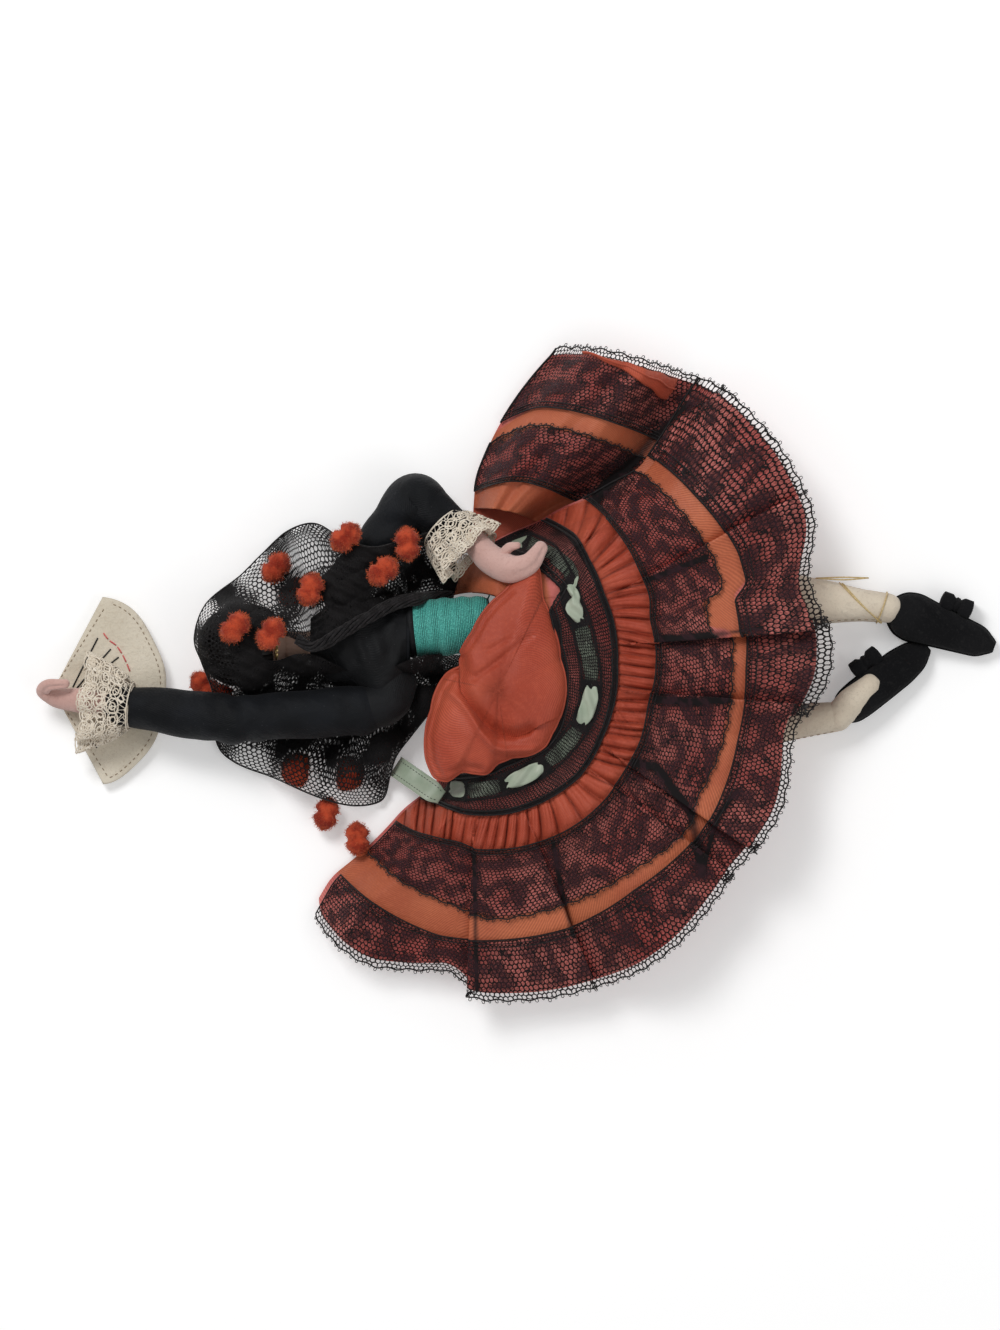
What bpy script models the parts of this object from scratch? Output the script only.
"""A wired felt dancer doll with a tiered skirt, lying on its front.

Metres. X runs from the head towards the feet, Y towards the doll's right side, Z up.
The origin is on the ground, under the middle of the doll's outline.
"""

from math import atan2, cos, exp, hypot, pi, radians, sin, sqrt

import bmesh
import bpy
from mathutils import Vector

# Fits and cloths
GAP = 0.0003
CLOTH = 0.0008
LACE = 0.0005
LAY = 0.0006
SLOPE_STEP = 0.0002
WIRE_RADIUS = 0.0008
WIRE_END = 0.006
TURN_STEPS = 14
CUTTER_STEPS = 18

# Torso, as oval sections from the neck to the waist: place, side limits, low and high edge
TORSO_TOP_X = -0.0665
TORSO_LENGTH = 0.0310
TORSO_AXIS_Y = 0.0105
TORSO_HALF_WIDTH = 0.0135
TORSO_ARM_SIDE = 0.0225
TORSO_LEVEL = 0.0150
TORSO_HALF_DEPTH = 0.0118
TORSO_PLACE_SHARES = (0.0, 0.22, 0.48, 0.70, 0.86, 1.0)
TORSO_ARM_SIDE_SHARES = (0.34, 0.56, 0.60, 1.0, 0.92, 0.40)
TORSO_FREE_SIDE_SHARES = (0.50, 0.90, 1.0, 1.0, 0.98, 0.96)
TORSO_DEPTH_SHARES = (0.55, 0.90, 1.0, 0.98, 0.92, 0.84)
TORSO_AROUND = 18

# Neck and head
NECK_RADIUS = 0.0044
NECK_REACH = 0.0035
HEAD_X = -0.0745
HEAD_Y = 0.0090
HEAD_LEVEL = 0.0132
HEAD_LENGTH = 0.0268
HEAD_RADIUS = 0.0118
HEAD_SHARES = (
    (0.0, 0.50), (0.10, 0.74), (0.28, 0.95), (0.50, 1.0), (0.72, 0.93), (0.88, 0.70), (0.97, 0.36),
)
HAIR = 0.0012
HAIR_SHARES = (0.16, 0.28, 0.50, 0.72, 0.88, 0.97)
HAIR_SWEEP = radians(104)
HAIR_STEPS = 12
KNOT_RADIUS = 0.0048
KNOT_HEIGHT = 0.0014
KNOT_SHARE = 0.52
EARRING_RADIUS = 0.0022
EARRING_WIRE = 0.00035
EARRING_SHARE = 0.10
EARRING_AROUND = radians(-10)
EARRING_FROM = radians(95.4)
EARRING_SWEEP = radians(349.2)
EARRING_POINTS = 15

# Waist and winding
WAIST_START = (-0.0343, 0.0142, 0.0165)
WAIST_END = (-0.0095, 0.0162, 0.0170)
WAIST_RADIUS = 0.0075
SASH_THREAD = 0.0014
SASH_TURNS = 10
SASH_POINTS = 24
SASH_LEAD = 0.0008

# Hips
HIPS_SEAT = 0.0009
HIPS_Y = 0.0135
HIPS_LEVEL = 0.0167
HIPS_LENGTH = 0.0180
HIPS_HALF_WIDTH = 0.0165
HIPS_HALF_DEPTH = 0.0123
HIPS_SHARES = ((0.0, 0.52), (0.12, 0.78), (0.36, 0.98), (0.62, 1.0), (0.86, 0.88), (1.0, 0.62))

# Left arm, raised over the head
SHOULDER_LEFT = (-0.0500, -0.0115, 0.0195)
ELBOW_LEFT = (-0.0915, -0.0145, 0.0195)
WRIST_LEFT = (-0.1290, -0.0098, 0.0145)
SLEEVE_RADIUS = 0.0077
SLEEVE_END_RADIUS = 0.0064
ELBOW_REACH = radians(48)
WRIST_RADIUS = 0.0042
SLEEVE_TAPER = (
    (0.0, SLEEVE_RADIUS), (0.45, SLEEVE_RADIUS), (0.86, SLEEVE_END_RADIUS),
    (0.90, WRIST_RADIUS), (1.0, WRIST_RADIUS),
)

# Right arm, its hand sewn to the skirt
SHOULDER_RIGHT = (-0.0560, 0.0275, 0.0155)
ELBOW_RIGHT = (-0.0330, 0.0550, 0.0150)
WRIST_RIGHT = (-0.0185, 0.0455, 0.0205)
ARM_RIGHT_RADIUS = 0.0072
ELBOW_RIGHT_RADIUS = 0.0092
ARM_RIGHT_FLARE = ((0.0, ARM_RIGHT_RADIUS), (0.55, ARM_RIGHT_RADIUS), (1.0, ELBOW_RIGHT_RADIUS))
ARM_RIGHT_TAPER = (
    (0.0, ELBOW_RIGHT_RADIUS), (0.6, ELBOW_RIGHT_RADIUS), (0.86, WRIST_RADIUS), (1.0, WRIST_RADIUS),
)

# Hands
HAND_RADIUS = 0.0038
HAND_LEFT_ROUTE = (
    (-0.1338, -0.0092, 0.0134),
    (-0.1400, -0.0085, 0.0114),
    (-0.1480, -0.0075, 0.0087),
    (-0.1522, -0.0055, 0.0112),
    (-0.1505, -0.0035, 0.0146),
    (-0.1450, -0.0030, 0.0160),
)
HAND_LEFT_SHARES = (0.90, 1.05, 0.86, 0.64, 0.56, 0.42)
HAND_RIGHT_ROUTE = (
    (-0.0148, 0.0429, 0.0202),
    (-0.0082, 0.0392, 0.0248),
    (-0.0030, 0.0370, 0.0307),
    (0.0030, 0.0346, 0.0332),
    (0.0066, 0.0326, 0.0324),
)
HAND_RIGHT_SHARES = (0.84, 1.0, 1.05, 0.82, 0.50)

# Cuffs
CUFF_LEFT_LENGTH = 0.0135
CUFF_LEFT_RADIUS = 0.0140
CUFF_RIGHT_LENGTH = 0.0100
CUFF_RIGHT_RADIUS = 0.0090
CUFF_LEFT_FLAT_SHARE = 0.42
CUFF_RIGHT_FLAT_SHARE = 0.75
CUFF_SCALLOPS = 7
CUFF_FRILL_SHARE = 0.10
CUFF_START_SHARE = 0.93

# Fan
FAN_APEX = (-0.1494, -0.0051)
FAN_RADIUS = 0.0362
FAN_HALF_ANGLE = radians(62)
FAN_LEVEL = 0.0044
FAN_THICKNESS = 0.0012
FAN_STEPS = 14

# Legs
HIP_RIGHT = (0.0080, 0.0215, 0.0140)
KNEE_RIGHT = (0.0550, 0.0267, 0.0120)
ANKLE_RIGHT = (0.1180, 0.0212, 0.0098)
HIP_LEFT = (0.0080, 0.0055, 0.0140)
KNEE_LEFT = (0.0510, -0.0200, 0.0110)
ANKLE_LEFT = (0.1020, -0.0136, 0.0090)
HIP_RADIUS = 0.0074
THIGH_RADIUS = 0.0080
KNEE_RADIUS = 0.0074
SHIN_RIGHT_RADIUS = 0.0080
SHIN_LEFT_RADIUS = 0.0064
ANKLE_RADIUS = 0.0046
THIGH_TAPER_SHARES = (0.25, 0.80)
SHIN_FULL_SHARES = (0.15, 0.55)
SHIN_TAPER_END = 0.92
KNEE_REACH_RIGHT = radians(20)
KNEE_REACH_LEFT = radians(46)

# Shoes, as sections along the foot: side offsets are shares of the shoe's own length
SHOE_LENGTH = 0.0370
SHIN_WAY_SHARE = 0.4
SHOE_HALF_WIDTH = 0.0075
SHOE_HEIGHT = 0.0118
SHOE_GROUND = 0.0012
SHOE_RIGHT_HEADING = radians(-20)
SHOE_LEFT_HEADING = radians(38)
SHOE_STATION_SHARES = (0.0, 0.10, 0.24, 0.46, 0.70, 0.88, 0.97)
SHOE_WIDTH_SHARES = (0.40, 0.86, 1.0, 0.84, 0.70, 0.60, 0.30)
SHOE_LEFT_WIDTH_SHARES = (0.40, 0.70, 0.76, 0.76, 0.74, 0.60, 0.34)
SHOE_HEIGHT_SHARES = (0.80, 1.0, 1.0, 0.86, 0.72, 0.58, 0.36)
SHOE_AROUND = 14
BOW_LENGTH = 0.0085
BOW_WIDTH = 0.0050
BOW_HEIGHT = 0.0070
BOW_SIDE = (
    (0.0, 0.66), (0.06, 0.94), (0.16, 1.0), (0.34, 0.90), (0.45, 0.50),
    (0.55, 0.50), (0.66, 0.90), (0.84, 1.0), (0.94, 0.94), (1.0, 0.66),
)
BOW_AROUND = 12
BOW_SHARE = 0.55

# Twine at the right ankle
TWINE_RADIUS = 0.0004
TWINE_TURNS = 2
TWINE_START_SHARE = 0.64
TWINE_END_SHARE = 0.84
TWINE_POINTS = 18

# Skirt, in polar sizes round the middle of its band
SKIRT_CENTRE = (-0.0150, 0.0020)
HEM_RADIUS = 0.1060
SKIRT_WAIST_RADIUS = 0.0240
BAND_INNER = 0.0335
BAND_OUTER = 0.0505
WAIST_HEIGHT = 0.0292
MOUTH_HEIGHT = 0.0212
HEM_HEIGHT = 0.0085
SIDE_RUN = 0.0160
FOLD_DEPTH = 0.0016
FOLD_COUNT = 12
FOLD_MINOR_SHARE = 0.5
FOLD_MINOR_RATE = 1.7
FOLD_MINOR_PHASE = 1.0
MOUTH_FROM = radians(-52)
MOUTH_TO = radians(44)
MOUTH_BLEND = radians(20)
HEM_SHARES = (
    (-126, 0.78), (-122.5, 0.87), (-115, 0.915), (-109, 0.93), (-102, 0.91), (-94, 0.89), (-88, 0.975),
    (-77, 1.0), (-61, 1.02), (-53, 1.01), (-40, 0.97), (-24, 1.0), (-13, 0.95), (-1, 1.03), (6, 1.04),
    (16, 1.005), (23, 1.10), (36, 1.115), (50, 1.105), (60, 1.04), (67, 1.015), (76, 0.98), (92, 0.70),
)
LEFT_SIDE = ((0.31, -104), (0.47, -116), (0.76, -124), (1.0, -123))
RIGHT_SIDE = ((0.24, 108), (0.31, 96), (0.40, 78), (0.48, 66), (0.62, 56), (0.78, 50), (1.07, 52))
LIFTED_SIDE = ((0.42, 90), (0.57, 89), (0.76, 83), (1.0, 75))
LIFTED_INNER = 0.0512
LIFTED_HEIGHT = 0.0150
LIFTED_START_ANGLE = radians(1.6)
LIFTED_RISE = 3
SKIRT_AROUND = 46
FRONT_AROUND = 40
LIFTED_AROUND = 12
PANEL_SHARES = (0.20, 0.38, 0.55, 0.66, 0.85, 1.0)
FRONT_SHARES = (0.0, 0.5, 1.0)
RUFFLE_SHARES = (0.01, 0.19)
INNER_LACE_SHARES = (0.21, 0.38, 0.55)
OUTER_LACE_SHARES = (0.66, 0.85, 1.03)
RIBBON_SHARES = (0.36, 0.66)

# Ribbon end
RIBBON_WIDTH = 0.0066
RIBBON_LENGTH = 0.0180
RIBBON_END_AT = (-0.0247, -0.0395, 0.0150)
RIBBON_HEADING = radians(146)
RIBBON_DROP = 0.0100

# Overskirt puff, by its outline round its own middle
PUFF_CENTRE = (-0.0060, -0.0010)
PUFF_REACH = 0.0380
PUFF_BASE = 0.0300
PUFF_DOME = 0.0058
PUFF_SHARES = (
    0.50, 0.53, 0.60, 0.68, 0.84, 0.72, 0.60, 0.46, 0.40, 0.40, 0.62, 0.76, 0.84, 0.84, 0.76, 0.60,
)
PUFF_ROWS = ((0, 0.94), (0.22, 1.0), (0.62, 0.88), (0.90, 0.62), (1.0, 0.25))
PUFF_FOLDS = 5
PUFF_FOLD_DEPTH = 0.0009

# Mantilla, by pixel places of its outer and inner edge in the photograph
PIXEL = 0.00032
PIXEL_ORIGIN = (519, 674)
MANTILLA_OUTER_PX = (
    (456, 566), (432, 557), (405, 552), (372, 550), (345, 540), (314, 523), (288, 530), (262, 553),
    (226, 590), (200, 612), (194, 640), (203, 662), (212, 690), (217, 746), (233, 762), (279, 780),
    (320, 798), (356, 806), (382, 800), (384, 776), (394, 750), (420, 722),
)
MANTILLA_INNER_PX = (
    (453, 597), (430, 598), (401, 602), (369, 617), (340, 634), (314, 648), (298, 640), (283, 636),
    (268, 641), (264, 652), (264, 664), (268, 678), (282, 694), (300, 702), (325, 706), (350, 710),
    (370, 716), (386, 720), (396, 716), (404, 706), (412, 696), (426, 684),
)
NET = 0.0006
NET_GROUND = 0.0012
NET_DOME_SHARE = 0.94
NET_OVER_HEAD = 0.0164
NET_HEAD_RADIUS = 0.0144
NET_HEAD_HALF_LENGTH = 0.0152
NET_OVER_TORSO = 0.0138
NET_TORSO_HALF_WIDTH = 0.0125
NET_FALL_SHARE = 0.25
NET_OVER_ARM = 0.0110
NET_ACROSS = 8

# Pompoms, by pixel place and by how far each sinks into the net's folds, in shares of its radius.
# One more lies on the ground at the net's edge and one at the skirt's edge.
POMPOM_RADIUS = 0.0047
POMPOM_LENGTH_SHARE = 1.25
POMPOMS = (
    (276, 568, -0.06), (347, 538, 0.25), (408, 545, 0.39), (384, 572, 0.14), (238, 628, 0), (273, 634, 0),
    (312, 590, 0.20), (326, 814, 0.47), (424, 700, 0.03), (380, 748, 0), (350, 776, 0), (295, 771, 0),
)
EDGE_POMPOM_PX = (204, 686)
SKIRT_POMPOM_SHARE = 0.623
SKIRT_POMPOM_ANGLE = radians(-123.91)
REST_RINGS = 5
REST_AROUND = 12

COLOURS = {
    "skin": (0.62, 0.40, 0.31),
    "felt": (0.56, 0.47, 0.37),
    "hand_felt": (0.62, 0.36, 0.30),
    "black_satin": (0.008, 0.009, 0.012),
    "black_felt": (0.006, 0.006, 0.007),
    "black_net": (0.010, 0.009, 0.010),
    "black_hair": (0.007, 0.006, 0.006),
    "rust_satin": (0.42, 0.085, 0.058),
    "black_lace": (0.030, 0.010, 0.011),
    "teal_thread": (0.040, 0.330, 0.300),
    "mint_satin": (0.32, 0.38, 0.29),
    "cream_lace": (0.50, 0.37, 0.27),
    "chenille": (0.45, 0.035, 0.015),
    "gold": (0.60, 0.42, 0.16),
    "steel": (0.45, 0.45, 0.45),
    "stuffing": (0.60, 0.55, 0.48),
}


def clear_scene():
    for obj in list(bpy.data.objects):
        bpy.data.objects.remove(obj, do_unlink=True)


def new_collection(name, hidden=False):
    collection = bpy.data.collections.new(name)
    collection.hide_render = hidden
    bpy.context.scene.collection.children.link(collection)
    return collection


def new_material(name, colour, roughness, metallic):
    material = bpy.data.materials.new(name)
    material.use_nodes = True
    shader = material.node_tree.nodes["Principled BSDF"]
    shader.inputs["Base Color"].default_value = (*colour, 1)
    shader.inputs["Roughness"].default_value = roughness
    shader.inputs["Metallic"].default_value = metallic
    return material


def add(name, data, collection, material=None):
    obj = bpy.data.objects.new(name, data)
    collection.objects.link(obj)
    if material:
        data.materials.append(material)
    return obj


def mesh_of(name, points, faces):
    mesh = bpy.data.meshes.new(name)
    mesh.from_pydata([tuple(point) for point in points], [], faces)
    mesh.update()
    return mesh


def smooth(obj):
    obj.data.shade_smooth()
    return obj


def aim(obj, start, end):
    """Stands the object's own Z axis on the line from start to end."""
    direction = Vector(end) - Vector(start)
    obj.location = start
    obj.rotation_mode = "QUATERNION"
    obj.rotation_quaternion = direction.to_track_quat("Z", "Y")
    return obj


def turned(name, profile, collection, material, closed=False, steps=TURN_STEPS):
    """A turned solid from points of radius and height, which run down its outer side."""
    count = len(profile)
    edges = [(i, i + 1) for i in range(count - 1)]
    if closed:
        edges.append((count - 1, 0))
    mesh = bpy.data.meshes.new(name)
    mesh.from_pydata([(radius, 0, height) for radius, height in profile], edges, [])
    obj = add(name, mesh, collection, material)
    screw = obj.modifiers.new("turn", "SCREW")
    screw.steps = steps
    screw.render_steps = steps
    screw.use_merge_vertices = True
    screw.merge_threshold = 0.00001
    screw.use_smooth_shade = True
    return obj


def grid_faces(rows, columns, wrap=False):
    faces = []
    for i in range(rows - 1):
        for j in range(columns if wrap else columns - 1):
            k = (j + 1) % columns
            faces.append((i * columns + j, i * columns + k, (i + 1) * columns + k, (i + 1) * columns + j))
    return faces


def sheet(name, rows, thickness, collection, material, wrap=False):
    """A cloth of even thickness laid over rows of points, on the side of its normals."""
    points = [point for row in rows for point in row]
    mesh = mesh_of(name, points, grid_faces(len(rows), len(rows[0]), wrap))
    obj = add(name, mesh, collection, material)
    shell = obj.modifiers.new("thickness", "SOLIDIFY")
    shell.thickness = thickness
    shell.offset = 1
    shell.use_even_offset = False
    return smooth(obj)


def loft(name, rows, collection, material):
    """A closed solid through rings of as many points each, capped at both ends."""
    points = [point for row in rows for point in row]
    count = len(rows[0])
    faces = grid_faces(len(rows), count, wrap=True)
    faces.append(tuple(range(count - 1, -1, -1)))
    faces.append(tuple(range((len(rows) - 1) * count, len(rows) * count)))
    mesh = mesh_of(name, points, faces)
    shape = bmesh.new()
    shape.from_mesh(mesh)
    bmesh.ops.recalc_face_normals(shape, faces=shape.faces)
    shape.to_mesh(mesh)
    shape.free()
    return smooth(add(name, mesh, collection, material))


def tube(name, route, radius, collection, material, shares=None, resolution=2):
    """A round bar along a route, whose radius follows the shares where there are any."""
    curve = bpy.data.curves.new(name, "CURVE")
    curve.dimensions = "3D"
    curve.bevel_depth = radius
    curve.bevel_resolution = resolution
    curve.use_fill_caps = True
    spline = curve.splines.new("POLY")
    spline.points.add(len(route) - 1)
    for i, place in enumerate(route):
        spline.points[i].co = (*place, 1)
        spline.points[i].radius = shares[i] if shares else 1
    return add(name, curve, collection, material)


def as_mesh(obj, collection):
    """The curve object made a mesh, with its caps welded on."""
    bpy.context.view_layer.update()
    graph = bpy.context.evaluated_depsgraph_get()
    mesh = bpy.data.meshes.new_from_object(obj.evaluated_get(graph))
    shape = bmesh.new()
    shape.from_mesh(mesh)
    bmesh.ops.remove_doubles(shape, verts=shape.verts, dist=0.000001)
    bmesh.ops.recalc_face_normals(shape, faces=shape.faces)
    shape.to_mesh(mesh)
    shape.free()
    name, matrix = obj.name, obj.matrix_world.copy()
    bpy.data.objects.remove(obj, do_unlink=True)
    made = add(name, mesh, collection)
    made.matrix_world = matrix
    return made


def cut(obj, cutter):
    cutter.display_type = "WIRE"
    cutter.hide_render = True
    boolean = obj.modifiers.new("cut", "BOOLEAN")
    boolean.operation = "DIFFERENCE"
    boolean.object = cutter
    return obj


def ball_cutter(name, centre, radius, cutters):
    shape = bmesh.new()
    wide = radius / cos(pi / CUTTER_STEPS)
    bmesh.ops.create_uvsphere(shape, u_segments=CUTTER_STEPS, v_segments=CUTTER_STEPS // 2, radius=wide)
    mesh = bpy.data.meshes.new(name)
    shape.to_mesh(mesh)
    shape.free()
    obj = add(name, mesh, cutters)
    obj.location = centre
    return obj


def rod_cutter(name, start, end, radius, cutters):
    length = (Vector(end) - Vector(start)).length
    profile = ((0, length), (radius, length), (radius, 0), (0, 0))
    return aim(turned(name, profile, cutters, None, steps=CUTTER_STEPS), start, end)


def wire_cutter(name, route, cutters):
    """The way of a wire, with a little room at its sides and past its two ends."""
    start = beyond(route[1], route[0], GAP)
    end = beyond(route[-2], route[-1], GAP)
    way = tube(name, (start, *route[1:-1], end), WIRE_RADIUS + GAP, cutters, None, resolution=1)
    return as_mesh(way, cutters)


def beyond(start, end, length):
    """The point that lies the length past the end, on the line from start to end."""
    direction = (Vector(end) - Vector(start)).normalized()
    return tuple(Vector(end) + direction * length)


def between(start, end, share):
    return tuple(Vector(start).lerp(Vector(end), share))


def table(value, pairs):
    """Reads a table of pairs at a value, straight between its rows."""
    if value <= pairs[0][0]:
        return pairs[0][1]
    for (low, first), (high, second) in zip(pairs, pairs[1:]):
        if value <= high:
            return first + (second - first) * (value - low) / (high - low)
    return pairs[-1][1]


def ease(value):
    value = min(max(value, 0), 1)
    return value * value * (3 - 2 * value)


def ball_outline(radius, height, up):
    """Points of a half circle's quarter, from its pole down to its widest place or back to its pole."""
    points = []
    for i in range(5):
        angle = pi / 2 * i / 4
        if up:
            points.append((radius * sin(angle), height + radius * cos(angle)))
        else:
            points.append((radius * cos(angle), height - radius * sin(angle)))
    return points


def limb(name, start, end, side, collection, material, ball=None):
    """A stuffed length of arm or leg: its near end is a ball round its joint, and the far end may be one."""
    length = (Vector(end) - Vector(start)).length
    outline = ball_outline(ball, length, True)[:-1] if ball else [(0, length)]
    outline += [(radius, length * share) for share, radius in reversed(side)]
    outline += ball_outline(side[0][1], 0, False)[1:]
    return aim(turned(name, outline, collection, material), start, end)


def socket_limb(name, start, end, side, reach, collection, material, ball=None):
    """A stuffed length whose near end goes round the ball of the length before it.

    reach is how far the joint turns, so that the rim stays clear of the length before.
    """
    length = (Vector(end) - Vector(start)).length
    near = side[0][1] + GAP
    rim = near * sin(reach)
    outline = ball_outline(ball, length, True)[:-1] if ball else [(0, length)]
    outline += [(radius, rim + (length - rim) * share) for share, radius in reversed(side)]
    first = pi / 2 - reach
    for i in range(4):
        angle = first * (3 - i) / 3
        outline.append((near * sin(angle), near * cos(angle)))
    return aim(turned(name, outline, collection, material), start, end)


def torso_rows(inset):
    """Oval sections of the upper body, drawn in by the inset."""
    rows = []
    for i, share in enumerate(TORSO_PLACE_SHARES):
        x = TORSO_TOP_X + TORSO_LENGTH * share
        low = TORSO_AXIS_Y - TORSO_ARM_SIDE * TORSO_ARM_SIDE_SHARES[i] + inset
        high = TORSO_AXIS_Y + TORSO_HALF_WIDTH * TORSO_FREE_SIDE_SHARES[i] - inset
        depth = TORSO_HALF_DEPTH * TORSO_DEPTH_SHARES[i] - inset
        row = []
        for j in range(TORSO_AROUND):
            angle = 2 * pi * j / TORSO_AROUND
            y = (low + high) / 2 + (high - low) / 2 * cos(angle)
            row.append((x, y, TORSO_LEVEL + depth * sin(angle)))
        rows.append(row)
    return rows


def make_torso(parts, cutters, materials):
    """Stuffed torso, and the satin bolero round it with room for the raised arm."""
    torso = loft("torso", torso_rows(CLOTH + GAP), parts, materials["stuffing"])
    jacket = sheet("bolero_jacket", torso_rows(CLOTH), CLOTH, parts, materials["black_satin"], wrap=True)
    for side, shoulder, elbow, radius in (
        ("left", SHOULDER_LEFT, ELBOW_LEFT, SLEEVE_RADIUS),
        ("right", SHOULDER_RIGHT, ELBOW_RIGHT, ARM_RIGHT_RADIUS),
    ):
        socket = ball_cutter("shoulder_socket_" + side, shoulder, radius + GAP, cutters)
        way = rod_cutter("arm_way_" + side, shoulder, elbow, radius + GAP, cutters)
        for body in (torso, jacket):
            cut(body, socket)
            cut(body, way)
    return torso, jacket


def make_neck(parts, materials):
    """Neck stub, which the head turns on."""
    start = (TORSO_TOP_X - CLOTH, HEAD_Y, HEAD_LEVEL)
    length = start[0] - HEAD_X + NECK_REACH
    profile = ((0, length), (NECK_RADIUS, length), (NECK_RADIUS, 0), (0, 0))
    neck = turned("neck", profile, parts, materials["skin"])
    aim(neck, start, (HEAD_X - NECK_REACH, HEAD_Y, HEAD_LEVEL))


def head_point(share, angle, lift):
    """A point over the head's skin: angle from straight up, lift above the skin."""
    radius = HEAD_RADIUS * table(share, HEAD_SHARES) + lift
    x = HEAD_X - HEAD_LENGTH * share
    return (x, HEAD_Y + radius * sin(angle), HEAD_LEVEL + radius * cos(angle))


def make_head(parts, materials):
    """Egg-shaped head with a recess for the neck, its hair, the hair's knot and the earring."""
    hole = NECK_RADIUS + GAP
    depth = NECK_REACH + GAP
    profile = [(0, HEAD_LENGTH)]
    for share, radius in reversed(HEAD_SHARES):
        profile.append((HEAD_RADIUS * radius, HEAD_LENGTH * share))
    profile += [(hole, 0), (hole, depth), (0, depth)]
    head = turned("head", profile, parts, materials["skin"])
    start = (HEAD_X, HEAD_Y, HEAD_LEVEL)
    aim(head, start, (HEAD_X - HEAD_LENGTH, HEAD_Y, HEAD_LEVEL))
    rows = []
    for share in HAIR_SHARES:
        turns = [HAIR_SWEEP * (2 * i / HAIR_STEPS - 1) for i in range(HAIR_STEPS + 1)]
        rows.append([head_point(share, turn, GAP) for turn in turns])
    hair = sheet("hair", rows, HAIR, parts, materials["black_hair"])
    shape = bmesh.new()
    bmesh.ops.create_uvsphere(shape, u_segments=14, v_segments=8, radius=KNOT_RADIUS)
    mesh = bpy.data.meshes.new("hair_knot")
    shape.to_mesh(mesh)
    shape.free()
    knot = smooth(add("hair_knot", mesh, parts, materials["black_hair"]))
    seat = head_point(KNOT_SHARE, 0, GAP + HAIR + GAP)
    knot.location = (seat[0], seat[1], seat[2] + KNOT_HEIGHT)
    knot.scale = (1, 1, KNOT_HEIGHT / KNOT_RADIUS)
    ring = []
    seat = head_point(EARRING_SHARE, EARRING_AROUND, GAP + EARRING_WIRE + EARRING_RADIUS)
    for i in range(EARRING_POINTS + 1):
        angle = EARRING_FROM + EARRING_SWEEP * i / EARRING_POINTS
        ring.append((seat[0], seat[1] + EARRING_RADIUS * cos(angle), seat[2] + EARRING_RADIUS * sin(angle)))
    earring = tube("earring", ring, EARRING_WIRE, parts, materials["gold"], resolution=1)
    return [head, hair, knot, earring]


def make_waist(parts, materials):
    """Waist core, and the teal thread wound round it in one unbroken run."""
    length = (Vector(WAIST_END) - Vector(WAIST_START)).length
    profile = ((0, length), (WAIST_RADIUS, length), (WAIST_RADIUS, 0), (0, 0))
    core = turned("waist_core", profile, parts, materials["stuffing"])
    aim(core, WAIST_START, WAIST_END)
    wound = WAIST_RADIUS + GAP + SASH_THREAD / 2
    count = SASH_TURNS * SASH_POINTS
    run = length - 2 * SASH_LEAD
    route = []
    for i in range(count + 1):
        angle = 2 * pi * i / SASH_POINTS
        route.append(Vector((wound * cos(angle), wound * sin(angle), SASH_LEAD + run * i / count)))
    least = min((route[i + SASH_POINTS] - route[i]).length for i in range(count - SASH_POINTS))
    print("sash: least gap between turns", round(1000 * (least - SASH_THREAD), 2), "mm")
    sash = tube("sash_winding", route, SASH_THREAD / 2, parts, materials["teal_thread"], resolution=1)
    aim(sash, WAIST_START, WAIST_END)


def make_hips(parts, cutters, materials):
    """Stuffed hips with a socket for each leg."""
    profile = [(0, HIPS_LENGTH)]
    for share, radius in reversed(HIPS_SHARES):
        profile.append((HIPS_HALF_WIDTH * radius, HIPS_LENGTH * share))
    profile.append((0, 0))
    hips = turned("hips", profile, parts, materials["stuffing"], steps=20)
    start = (WAIST_END[0] + HIPS_SEAT, HIPS_Y, HIPS_LEVEL)
    hips.location = start
    hips.rotation_euler = (0, pi / 2, 0)
    hips.scale = (HIPS_HALF_DEPTH / HIPS_HALF_WIDTH, 1, 1)
    for side, hip, knee in (("right", HIP_RIGHT, KNEE_RIGHT), ("left", HIP_LEFT, KNEE_LEFT)):
        cut(hips, ball_cutter("hip_socket_" + side, hip, HIP_RADIUS + GAP, cutters))
        cut(hips, rod_cutter("thigh_way_" + side, hip, knee, HIP_RADIUS + GAP, cutters))
    return hips


def make_left_arm(torso, jacket, parts, cutters, materials):
    """Raised arm in its black sleeve, with the hand on its wrist."""
    satin = materials["black_satin"]
    full = ((0.0, SLEEVE_RADIUS), (1.0, SLEEVE_RADIUS))
    upper = limb("sleeve_left_upper", SHOULDER_LEFT, ELBOW_LEFT, full, parts, satin, ball=SLEEVE_RADIUS)
    places = (ELBOW_LEFT, WRIST_LEFT)
    reach = ELBOW_REACH
    lower = socket_limb("sleeve_left_lower", *places, SLEEVE_TAPER, reach, parts, satin, ball=WRIST_RADIUS)
    hand = tube("hand_left", HAND_LEFT_ROUTE, HAND_RADIUS, parts, None, shares=HAND_LEFT_SHARES)
    hand = as_mesh(hand, parts)
    hand.data.materials.append(materials["hand_felt"])
    route = (
        beyond(ELBOW_LEFT, SHOULDER_LEFT, SLEEVE_RADIUS + WIRE_END),
        ELBOW_LEFT,
        beyond(ELBOW_LEFT, WRIST_LEFT, WRIST_RADIUS + WIRE_END),
    )
    wire = tube("arm_wire_left", route, WIRE_RADIUS, parts, materials["steel"], resolution=1)
    way = wire_cutter("arm_wire_way_left", route, cutters)
    for body in (torso, jacket, upper, lower, hand):
        cut(body, way)
    return upper, lower, smooth(hand), wire


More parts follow.
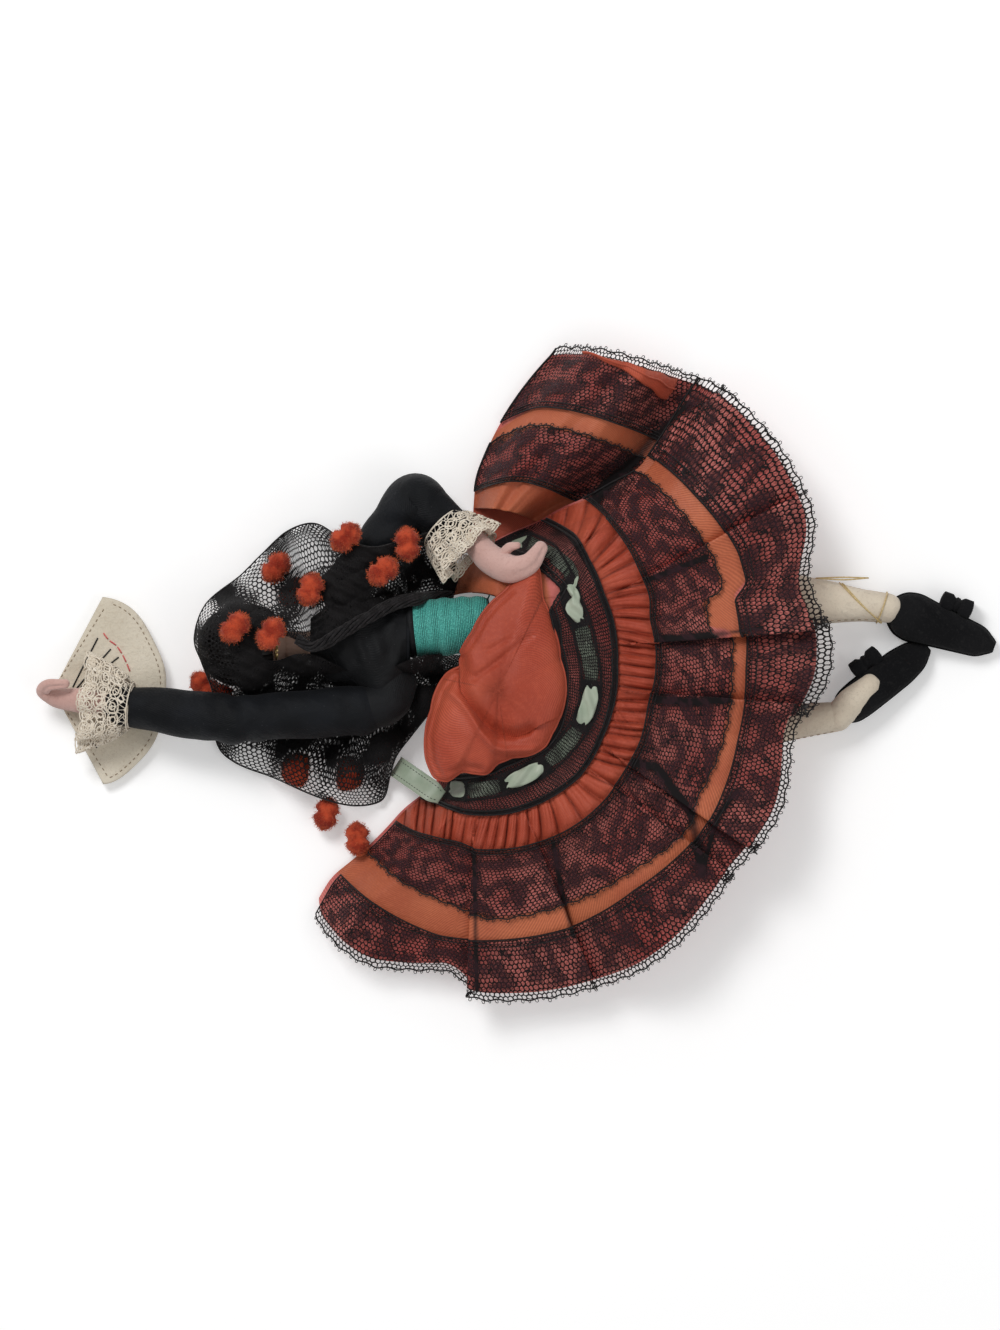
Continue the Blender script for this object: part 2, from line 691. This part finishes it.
def frill_rows(length, near, far, flat):
    """A bell of lace: rings from the sleeve's end to a scalloped edge."""
    rows = []
    around = 4 * CUFF_SCALLOPS
    for i in range(4):
        share = i / 3
        row = []
        for j in range(around):
            angle = 2 * pi * j / around
            wave = 1 + CUFF_FRILL_SHARE * share * cos(CUFF_SCALLOPS * angle)
            radius = (near + (far - near) * sqrt(share)) * wave
            flattened = radius * (1 + (flat - 1) * share)
            row.append((radius * cos(angle), flattened * sin(angle), length * share))
        rows.append(row)
    return rows


def make_cuffs(parts, materials):
    """Lace frills at the two wrists."""
    near = WRIST_RADIUS + GAP + LACE
    rows = frill_rows(CUFF_LEFT_LENGTH, near, CUFF_LEFT_RADIUS, CUFF_LEFT_FLAT_SHARE)
    left = sheet("cuff_left", rows, LACE, parts, materials["cream_lace"], wrap=True)
    start = between(ELBOW_LEFT, WRIST_LEFT, CUFF_START_SHARE)
    aim(left, start, beyond(ELBOW_LEFT, WRIST_LEFT, CUFF_LEFT_LENGTH))
    rows = frill_rows(CUFF_RIGHT_LENGTH, near, CUFF_RIGHT_RADIUS, CUFF_RIGHT_FLAT_SHARE)
    right = sheet("cuff_right", rows, LACE, parts, materials["cream_lace"], wrap=True)
    start = between(ELBOW_RIGHT, WRIST_RIGHT, CUFF_START_SHARE)
    aim(right, start, beyond(ELBOW_RIGHT, WRIST_RIGHT, CUFF_RIGHT_LENGTH))
    return left


def make_fan(parts, materials):
    """Felt fan: a sector that opens from the hand."""
    curve = bpy.data.curves.new("fan", "CURVE")
    curve.dimensions = "2D"
    curve.fill_mode = "BOTH"
    curve.extrude = FAN_THICKNESS / 2
    spline = curve.splines.new("POLY")
    spline.points.add(FAN_STEPS + 1)
    spline.points[0].co = (0, 0, 0, 1)
    for i in range(FAN_STEPS + 1):
        angle = FAN_HALF_ANGLE * (2 * i / FAN_STEPS - 1)
        spline.points[i + 1].co = (FAN_RADIUS * cos(angle), FAN_RADIUS * sin(angle), 0, 1)
    spline.use_cyclic_u = True
    fan = add("fan", curve, parts, materials["felt"])
    fan.location = (*FAN_APEX, FAN_LEVEL)
    return fan


def make_right_arm(torso, jacket, parts, cutters, materials):
    """Bent arm in its sleeve: it doesn't move, because its hand is sewn to the skirt."""
    satin = materials["black_satin"]
    places = (SHOULDER_RIGHT, ELBOW_RIGHT)
    upper = limb("sleeve_right_upper", *places, ARM_RIGHT_FLARE, parts, satin, ball=ELBOW_RIGHT_RADIUS)
    lower = limb("sleeve_right_lower", ELBOW_RIGHT, WRIST_RIGHT, ARM_RIGHT_TAPER, parts, satin)
    cut(lower, ball_cutter("elbow_socket_right", ELBOW_RIGHT, ELBOW_RIGHT_RADIUS + GAP, cutters))
    cut(lower, rod_cutter("elbow_way_right", *places, ELBOW_RIGHT_RADIUS + GAP, cutters))
    hand = tube("hand_right", HAND_RIGHT_ROUTE, HAND_RADIUS, parts, None, shares=HAND_RIGHT_SHARES)
    hand = as_mesh(hand, parts)
    hand.data.materials.append(materials["hand_felt"])
    start = beyond(ELBOW_RIGHT, SHOULDER_RIGHT, ARM_RIGHT_RADIUS + WIRE_END)
    route = (start, ELBOW_RIGHT, WRIST_RIGHT)
    tube("arm_wire_right", route, WIRE_RADIUS, parts, materials["steel"], resolution=1)
    way = wire_cutter("arm_wire_way_right", route, cutters)
    for body in (torso, jacket, upper, lower):
        cut(body, way)
    smooth(hand)


def make_leg(side, hip, knee, ankle, shin_radius, reach, hips, parts, cutters, materials):
    """One leg: thigh, shin, the wire through both, and the wire's way."""
    felt = materials["felt"]
    near, far = THIGH_TAPER_SHARES
    thigh_side = ((0.0, HIP_RADIUS), (near, THIGH_RADIUS), (far, THIGH_RADIUS), (1.0, KNEE_RADIUS))
    thigh = limb("thigh_" + side, hip, knee, thigh_side, parts, felt, ball=KNEE_RADIUS)
    near, far = SHIN_FULL_SHARES
    shin_side = (
        (0.0, KNEE_RADIUS), (near, shin_radius), (far, shin_radius),
        (SHIN_TAPER_END, ANKLE_RADIUS), (1.0, ANKLE_RADIUS),
    )
    shin = socket_limb("shin_" + side, knee, ankle, shin_side, reach, parts, felt, ball=ANKLE_RADIUS)
    start = beyond(knee, hip, HIP_RADIUS + WIRE_END / 2)
    route = (start, knee, beyond(knee, ankle, ANKLE_RADIUS + WIRE_END))
    wire = tube("leg_wire_" + side, route, WIRE_RADIUS, parts, materials["steel"], resolution=1)
    way = wire_cutter("leg_wire_way_" + side, route, cutters)
    for body in (hips, thigh, shin):
        cut(body, way)
    return thigh, shin, wire, way


def make_shoe(side, ankle, knee, heading, widths, way, parts, cutters, materials):
    """A felt shoe with a flat sole, and the bow on its side."""
    rows = []
    for station, width, height in zip(SHOE_STATION_SHARES, widths, SHOE_HEIGHT_SHARES):
        row = []
        for j in range(SHOE_AROUND):
            angle = 2 * pi * j / SHOE_AROUND
            across = SHOE_HALF_WIDTH * width * cos(angle)
            rise = SHOE_HEIGHT * height * (1 + sin(angle)) / 2
            row.append((SHOE_LENGTH * station, across, rise))
        rows.append(row)
    shoe = loft("shoe_" + side, rows, parts, materials["black_felt"])
    shoe.location = (ankle[0], ankle[1], SHOE_GROUND)
    shoe.rotation_euler = (0, 0, heading)
    cut(shoe, ball_cutter("ankle_socket_" + side, ankle, ANKLE_RADIUS + GAP, cutters))
    shin_way = rod_cutter(
        "shin_way_" + side, ankle, between(ankle, knee, SHIN_WAY_SHARE), ANKLE_RADIUS + GAP, cutters
    )
    cut(shoe, shin_way)
    cut(shoe, way)
    return shoe, make_bow(side, ankle, heading, widths, parts, materials)


def make_bow(side, ankle, heading, widths, parts, materials):
    """A felt bow beside the shoe: two loops, pinched where their band ties them."""
    rows = []
    for share, size in BOW_SIDE:
        row = []
        for j in range(BOW_AROUND):
            angle = 2 * pi * j / BOW_AROUND
            across = BOW_WIDTH / 2 * size * cos(angle)
            row.append((BOW_LENGTH * (share - 0.5), across, BOW_HEIGHT / 2 * size * sin(angle)))
        rows.append(row)
    bow = loft("bow_" + side, rows, parts, materials["black_felt"])
    widest = table(BOW_SHARE - BOW_LENGTH / 2 / SHOE_LENGTH, list(zip(SHOE_STATION_SHARES, widths)))
    beside = SHOE_HALF_WIDTH * widest + GAP + BOW_WIDTH / 2
    along = SHOE_LENGTH * BOW_SHARE
    x = ankle[0] + along * cos(heading) - beside * sin(heading)
    y = ankle[1] + along * sin(heading) + beside * cos(heading)
    bow.location = (x, y, SHOE_GROUND + BOW_HEIGHT / 2)
    bow.rotation_euler = (0, 0, heading)
    return bow


def make_twine(parts, materials):
    """Gold twine, two turns round the right ankle."""
    length = (Vector(ANKLE_RIGHT) - Vector(KNEE_RIGHT)).length
    count = TWINE_TURNS * TWINE_POINTS
    thick = ((TWINE_START_SHARE, SHIN_RIGHT_RADIUS), (SHIN_TAPER_END, ANKLE_RADIUS))
    route = []
    for i in range(count + 1):
        share = TWINE_START_SHARE + (TWINE_END_SHARE - TWINE_START_SHARE) * i / count
        angle = 2 * pi * i / TWINE_POINTS
        radius = table(share, thick) + 2 * GAP + TWINE_RADIUS
        route.append((radius * cos(angle), radius * sin(angle), length * share))
    twine = tube("ankle_twine", route, TWINE_RADIUS, parts, materials["gold"], resolution=1)
    return aim(twine, KNEE_RIGHT, ANKLE_RIGHT)


def polar(x, y):
    return hypot(x - SKIRT_CENTRE[0], y - SKIRT_CENTRE[1]), atan2(y - SKIRT_CENTRE[1], x - SKIRT_CENTRE[0])


def hem(angle):
    return HEM_RADIUS * table(angle * 180 / pi, HEM_SHARES)


def side_angle(radius, sides):
    return radians(table(radius / HEM_RADIUS, sides))


def folds(radius, angle):
    """The skirt's soft folds, deeper towards the hem."""
    share = min(radius / HEM_RADIUS, 1)
    depth = FOLD_DEPTH * share * share
    minor = 1 + cos(FOLD_MINOR_RATE * FOLD_COUNT * angle + FOLD_MINOR_PHASE)
    return depth * (1 + cos(FOLD_COUNT * angle) + FOLD_MINOR_SHARE * minor)


def skirt_height(x, y):
    """The top of the skirt's back panel over a point of the ground."""
    radius, angle = polar(x, y)
    reach = hem(angle)
    share = min(max((radius - SKIRT_WAIST_RADIUS) / (reach - SKIRT_WAIST_RADIUS), 0), 1)
    mouth = ease((angle - MOUTH_FROM) / MOUTH_BLEND + 1) * ease((MOUTH_TO - angle) / MOUTH_BLEND + 1)
    outer = HEM_HEIGHT + (MOUTH_HEIGHT - HEM_HEIGHT) * mouth
    full = WAIST_HEIGHT + (outer - WAIST_HEIGHT) * share + folds(radius, angle)
    near = radius * min(angle - side_angle(radius, LEFT_SIDE), side_angle(radius, RIGHT_SIDE) - angle)
    edge = CLOTH + GAP + CLOTH
    return edge + (full - edge) * ease(near / SIDE_RUN)


def lifted_height(x, y):
    """The top of the side of the skirt that the hand lifts."""
    radius, angle = polar(x, y)
    start = side_angle(radius, RIGHT_SIDE) + LIFTED_START_ANGLE
    end = side_angle(radius, LIFTED_SIDE)
    share = min(max((angle - start) / (end - start), 0), 1)
    edge = CLOTH + GAP + CLOTH
    arch = ease(LIFTED_RISE * min(share, 1 - share))
    return edge + LIFTED_HEIGHT * arch + folds(radius, angle) * arch


def laid(x, y, height, lift):
    """A point that clears a surface by the lift, measured square to the surface."""
    here = height(x, y)
    slope_x = (height(x + SLOPE_STEP, y) - here) / SLOPE_STEP
    slope_y = (height(x, y + SLOPE_STEP) - here) / SLOPE_STEP
    return (x, y, here + lift * sqrt(1 + slope_x * slope_x + slope_y * slope_y))


def sector_rows(rings, sides, height, lift, around, margin):
    """Rows of points over a skirt's sector, one row for each ring from the inner to the outer edge.

    A ring gives its radius at any angle. margin is how many columns of points are left out at each side.
    """
    rows = []
    for ring in rings:
        row = []
        for j in range(margin, around + 1 - margin):
            share = j / around
            angle = side_angle(HEM_RADIUS, sides[0]) * (1 - share) + side_angle(HEM_RADIUS, sides[1]) * share
            start = side_angle(ring(angle), sides[0]) + sides[2]
            end = side_angle(ring(angle), sides[1])
            angle = start + (end - start) * share
            x = SKIRT_CENTRE[0] + ring(angle) * cos(angle)
            y = SKIRT_CENTRE[1] + ring(angle) * sin(angle)
            row.append(laid(x, y, height, lift))
        rows.append(row[::-1])
    return rows


def fixed(value):
    return lambda angle: value


def tier(share):
    """A radius between the band's outer edge and the hem, at any angle."""
    return lambda angle: BAND_OUTER + (hem(angle) - BAND_OUTER) * share


def tiers(shares):
    return [tier(share) for share in shares]


def flat_ground(x, y):
    return 0


def make_skirt(parts, materials):
    """Skirt of two panels and its lifted side, with the band, ruffle, flounces and ribbon on it."""
    satin, lace = materials["rust_satin"], materials["black_lace"]
    main = (LEFT_SIDE, RIGHT_SIDE, 0)
    whole = (LEFT_SIDE, LIFTED_SIDE, 0)
    lifted = (RIGHT_SIDE, LIFTED_SIDE, LIFTED_START_ANGLE)

    def piece(name, rings, sides, height, lift, thickness, material, around, margin=0):
        sheet(name, sector_rows(rings, sides, height, lift, around, margin), thickness, parts, material)

    waist = fixed(SKIRT_WAIST_RADIUS)
    inside = [waist, fixed(BAND_INNER), fixed(BAND_OUTER)]
    panel = [waist, *tiers(FRONT_SHARES)]
    piece("skirt_front_panel", panel, whole, flat_ground, 0, CLOTH, satin, FRONT_AROUND)
    panel = inside + tiers(PANEL_SHARES)
    piece("skirt_back_panel", panel, main, skirt_height, -CLOTH, CLOTH, satin, SKIRT_AROUND)
    panel = [fixed(LIFTED_INNER), *tiers(PANEL_SHARES)]
    piece("skirt_lifted_side", panel, lifted, lifted_height, -CLOTH, CLOTH, satin, LIFTED_AROUND)
    band = [fixed(BAND_INNER), fixed(BAND_OUTER - GAP)]
    piece("lace_band", band, main, skirt_height, LAY, LACE, lace, SKIRT_AROUND, 1)
    ribbon = [fixed(BAND_INNER + (BAND_OUTER - BAND_INNER) * share) for share in RIBBON_SHARES]
    lift = 2 * LAY + LACE
    piece("band_ribbon", ribbon, main, skirt_height, lift, LACE, materials["mint_satin"], SKIRT_AROUND, 4)
    for name, shares, material in (
        ("gathered_ruffle", RUFFLE_SHARES, satin),
        ("lace_flounce_inner", INNER_LACE_SHARES, lace),
        ("lace_flounce_outer", OUTER_LACE_SHARES, lace),
    ):
        piece(name, tiers(shares), main, skirt_height, LAY, LACE, material, SKIRT_AROUND, 1)
    for name, shares in (("lifted_lace_inner", INNER_LACE_SHARES), ("lifted_lace_outer", OUTER_LACE_SHARES)):
        piece(name, tiers(shares), lifted, lifted_height, LAY, LACE, lace, LIFTED_AROUND, 1)


def make_ribbon_end(parts, materials):
    """Loose end of the mint ribbon, past the end of the band."""
    rows = []
    for i in range(7):
        share = i / 6
        row = []
        for j in range(3):
            across = RIBBON_WIDTH * (j / 2 - 0.5)
            row.append((RIBBON_LENGTH * share, across, -RIBBON_DROP * share * share))
        rows.append(row)
    rows = [list(reversed(row)) for row in rows]
    ribbon = sheet("ribbon_end", rows, LACE, parts, materials["mint_satin"])
    ribbon.location = RIBBON_END_AT
    ribbon.rotation_euler = (0, 0, RIBBON_HEADING)
    return ribbon


def make_puff(parts, materials):
    """Overskirt puff: a soft dome with folds, over the hips."""
    count = 2 * len(PUFF_SHARES)
    rows = []
    for rise, spread in PUFF_ROWS:
        row = []
        for j in range(count):
            angle = 2 * pi * j / count
            first = PUFF_SHARES[j // 2]
            second = PUFF_SHARES[(j // 2 + 1) % len(PUFF_SHARES)]
            reach = PUFF_REACH * (first + (second - first) * (j % 2) / 2) * spread
            crease = PUFF_FOLD_DEPTH * rise * cos(PUFF_FOLDS * angle)
            x = PUFF_CENTRE[0] + reach * cos(angle)
            y = PUFF_CENTRE[1] + reach * sin(angle)
            row.append((x, y, PUFF_BASE + PUFF_DOME * rise + crease))
        rows.append(row)
    return loft("overskirt_puff", rows, parts, materials["rust_satin"])


def from_pixel(place):
    return (place[0] - PIXEL_ORIGIN[0]) * PIXEL, (PIXEL_ORIGIN[1] - place[1]) * PIXEL


def dome(off, level, rise):
    """Height of the net over a rounded thing, by how far off its middle a place is in half widths."""
    if off <= 1:
        return level + rise * sqrt(1 - NET_DOME_SHARE * off * off)
    return (level + rise * sqrt(1 - NET_DOME_SHARE)) * exp((1 - off) / NET_FALL_SHARE)


def off_line(x, y, start, end):
    """How far a place of the ground is from the line between two points."""
    first = Vector(start[:2])
    along = Vector(end[:2]) - first
    share = min(max((Vector((x, y)) - first).dot(along) / along.length_squared, 0), 1)
    return (Vector((x, y)) - first - along * share).length


def net_height(x, y):
    """How high the mantilla hangs: over the head, the back or the bent arm, else near the ground."""
    middle = (HEAD_X - HEAD_LENGTH / 2, HEAD_Y)
    off_head = hypot((x - middle[0]) / NET_HEAD_HALF_LENGTH, (y - middle[1]) / NET_HEAD_RADIUS)
    over_head = dome(off_head, HEAD_LEVEL, NET_OVER_HEAD)
    nape = (HEAD_X, NET_TORSO_HALF_WIDTH)
    waist = (TORSO_TOP_X + TORSO_LENGTH, NET_TORSO_HALF_WIDTH)
    over_back = dome(off_line(x, y, nape, waist) / NET_TORSO_HALF_WIDTH, TORSO_LEVEL, NET_OVER_TORSO)
    off_arm = off_line(x, y, SHOULDER_RIGHT, ELBOW_RIGHT)
    over_arm = dome(off_arm / NET_OVER_ARM, SHOULDER_RIGHT[2], NET_OVER_ARM)
    return max(NET_GROUND + max(over_head, over_back, over_arm), skirt_height(x, y) + GAP)


def rest_height(x, y, reach):
    """How high the middle of a pompom is when it rests on the net. reach is half its width, with the gap."""
    highest = 0
    for i in range(REST_RINGS):
        off = reach * i / REST_RINGS
        for j in range(REST_AROUND):
            angle = 2 * pi * j / REST_AROUND
            under = net_height(x + off * cos(angle), y + off * sin(angle) * POMPOM_LENGTH_SHARE) + NET
            highest = max(highest, under + sqrt(reach * reach - off * off))
    return highest


def make_mantilla(parts, materials):
    """Net mantilla: one sheet over the head, the bent arm's shoulder and the ground by the raised arm."""
    rows = []
    for outer, inner in zip(MANTILLA_OUTER_PX, MANTILLA_INNER_PX):
        start, end = from_pixel(outer), from_pixel(inner)
        row = []
        for j in range(NET_ACROSS + 1):
            share = j / NET_ACROSS
            x = start[0] + (end[0] - start[0]) * share
            y = start[1] + (end[1] - start[1]) * share
            row.append((x, y, net_height(x, y)))
        rows.append(row[::-1])
    return sheet("mantilla", rows, NET, parts, materials["black_net"])


def make_pompoms(parts, materials):
    """Chenille pompoms, sewn on the mantilla, and two on the ground at its edge."""
    seats = []
    for across, down, sink in POMPOMS:
        x, y = from_pixel((across, down))
        seats.append((x, y, rest_height(x, y, POMPOM_RADIUS + GAP) - sink * POMPOM_RADIUS))
    seats.append((*from_pixel(EDGE_POMPOM_PX), POMPOM_RADIUS + GAP))
    reach = HEM_RADIUS * SKIRT_POMPOM_SHARE
    x = SKIRT_CENTRE[0] + reach * cos(SKIRT_POMPOM_ANGLE)
    y = SKIRT_CENTRE[1] + reach * sin(SKIRT_POMPOM_ANGLE)
    seats.append((x, y, POMPOM_RADIUS + GAP))
    for i, seat in enumerate(seats):
        shape = bmesh.new()
        bmesh.ops.create_uvsphere(shape, u_segments=10, v_segments=6, radius=POMPOM_RADIUS)
        mesh = bpy.data.meshes.new("pompom")
        shape.to_mesh(mesh)
        shape.free()
        name = "pompom_" + str(i + 1).zfill(2)
        pompom = smooth(add(name, mesh, parts, materials["chenille"]))
        pompom.location = seat
        pompom.scale = (1, POMPOM_LENGTH_SHARE, 1)


def hang_on(axis_name, place, pieces, parts, parent=None):
    """An empty on a joint's axis that carries the pieces of one body."""
    axis = bpy.data.objects.new(axis_name, None)
    axis.empty_display_size = SLEEVE_RADIUS
    parts.objects.link(axis)
    axis.location = place
    if parent:
        axis.parent = parent
        axis.location = Vector(place) - parent.matrix_world.translation
    bpy.context.view_layer.update()
    for piece in pieces:
        piece.parent = axis
        piece.matrix_parent_inverse = axis.matrix_world.inverted()
    return axis


def main():
    clear_scene()
    parts = new_collection("dancer_doll")
    cutters = new_collection("cutters", hidden=True)
    rough = {"gold": 0.35, "steel": 0.35, "mint_satin": 0.45, "rust_satin": 0.50, "black_satin": 0.45}
    metal = {"gold": 1.0, "steel": 1.0}
    materials = {
        name: new_material(name, colour, rough.get(name, 0.9), metal.get(name, 0.0))
        for name, colour in COLOURS.items()
    }
    torso, jacket = make_torso(parts, cutters, materials)
    make_neck(parts, materials)
    make_waist(parts, materials)
    hips = make_hips(parts, cutters, materials)
    head_pieces = make_head(parts, materials)
    left_arm = make_left_arm(torso, jacket, parts, cutters, materials)
    sleeve_upper, sleeve_lower, hand_left, wire_left = left_arm
    cuff_left = make_cuffs(parts, materials)
    fan = make_fan(parts, materials)
    make_right_arm(torso, jacket, parts, cutters, materials)
    hang_on("neck_axis", (HEAD_X, HEAD_Y, HEAD_LEVEL), head_pieces, parts)
    shoulder = hang_on("shoulder_left_axis", SHOULDER_LEFT, [sleeve_upper, wire_left], parts)
    elbow = hang_on("elbow_left_axis", ELBOW_LEFT, [sleeve_lower, cuff_left], parts, shoulder)
    hang_on("wrist_left_axis", WRIST_LEFT, [hand_left, fan], parts, elbow)
    right = (HIP_RIGHT, KNEE_RIGHT, ANKLE_RIGHT, SHIN_RIGHT_RADIUS, KNEE_REACH_RIGHT)
    left = (HIP_LEFT, KNEE_LEFT, ANKLE_LEFT, SHIN_LEFT_RADIUS, KNEE_REACH_LEFT)
    for side, places, heading, widths in (
        ("right", right, SHOE_RIGHT_HEADING, SHOE_WIDTH_SHARES),
        ("left", left, SHOE_LEFT_HEADING, SHOE_LEFT_WIDTH_SHARES),
    ):
        hip, knee, ankle = places[:3]
        thigh, shin, wire, way = make_leg(side, *places, hips, parts, cutters, materials)
        shoe, bow = make_shoe(side, ankle, knee, heading, widths, way, parts, cutters, materials)
        shin_pieces = [shin]
        if side == "right":
            shin_pieces.append(make_twine(parts, materials))
        hip_axis = hang_on("hip_axis_" + side, hip, [thigh, wire], parts)
        knee_axis = hang_on("knee_axis_" + side, knee, shin_pieces, parts, hip_axis)
        hang_on("ankle_axis_" + side, ankle, [shoe, bow], parts, knee_axis)
    make_skirt(parts, materials)
    make_ribbon_end(parts, materials)
    make_puff(parts, materials)
    make_mantilla(parts, materials)
    make_pompoms(parts, materials)


main()
